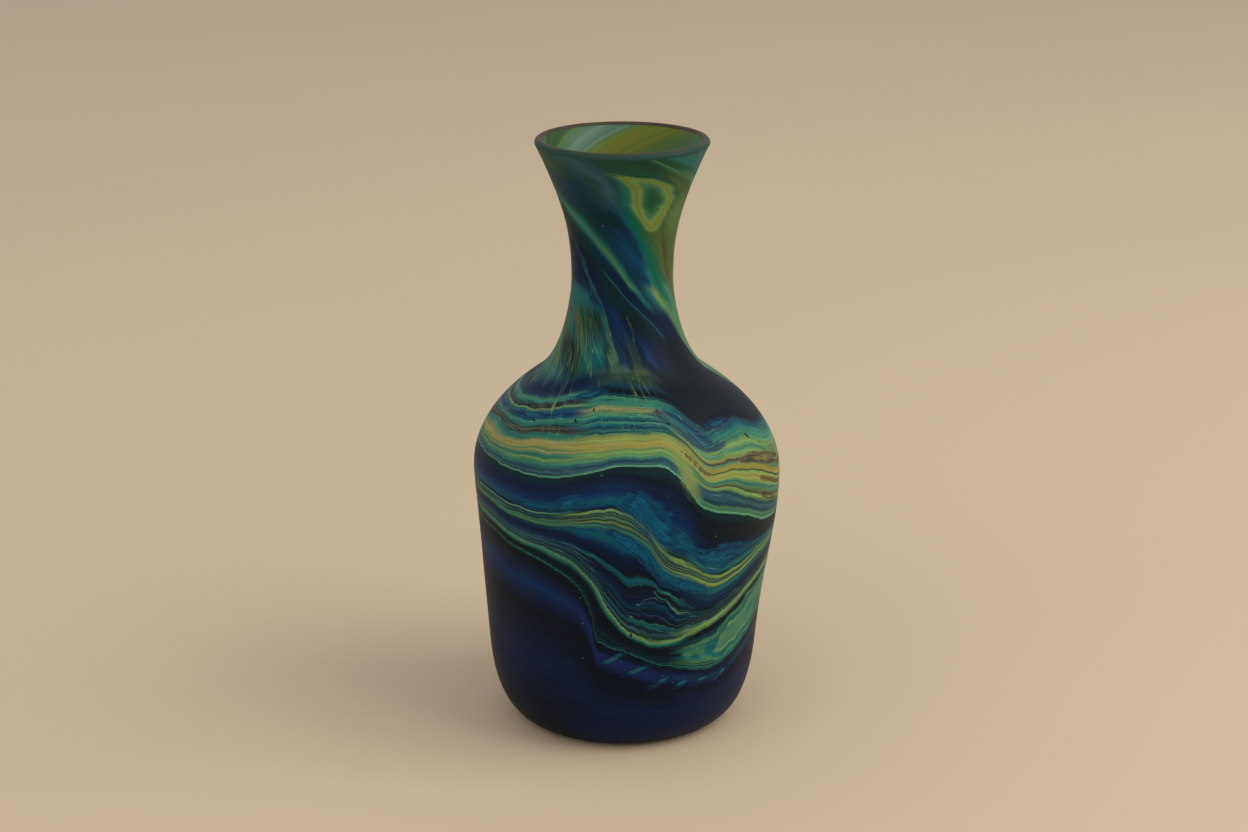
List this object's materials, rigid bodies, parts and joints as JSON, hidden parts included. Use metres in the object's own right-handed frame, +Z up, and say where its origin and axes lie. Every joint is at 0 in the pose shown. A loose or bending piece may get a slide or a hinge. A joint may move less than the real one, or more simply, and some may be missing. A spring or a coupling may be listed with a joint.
{
  "type": "art glass vase",
  "caption": "Hand-blown glass vase: rounded bottle body on a flat foot ring, narrow neck, flared open mouth with a rounded lip, swirled colour in the outer casing.",
  "frame": {"origin": "centre of the foot ring, on the surface that the vase stands on", "axes": "+Z up along the vase's axis to the open mouth; the front of the swirl faces -Y, and +X is to the right of a viewer in front"},
  "size_m": [0.103, 0.103, 0.2],
  "materials": {
    "inner_gather": "satin, streaked sky blue, yellow-green and olive",
    "outer_casing": "satin, acid-frosted, swirled navy, teal, green and yellow",
    "lip_ring": "satin, fire-polished, brown-grey",
    "base_pad": "satin, dark cobalt",
    "pontil_mark": "ground, cobalt"
  },
  "bodies": {
    "root": {"inner_gather": "inner_gather", "outer_casing": "outer_casing", "lip_ring": "lip_ring", "base_pad": "base_pad", "pontil_mark": "pontil_mark"}
  },
  "joints": []
}
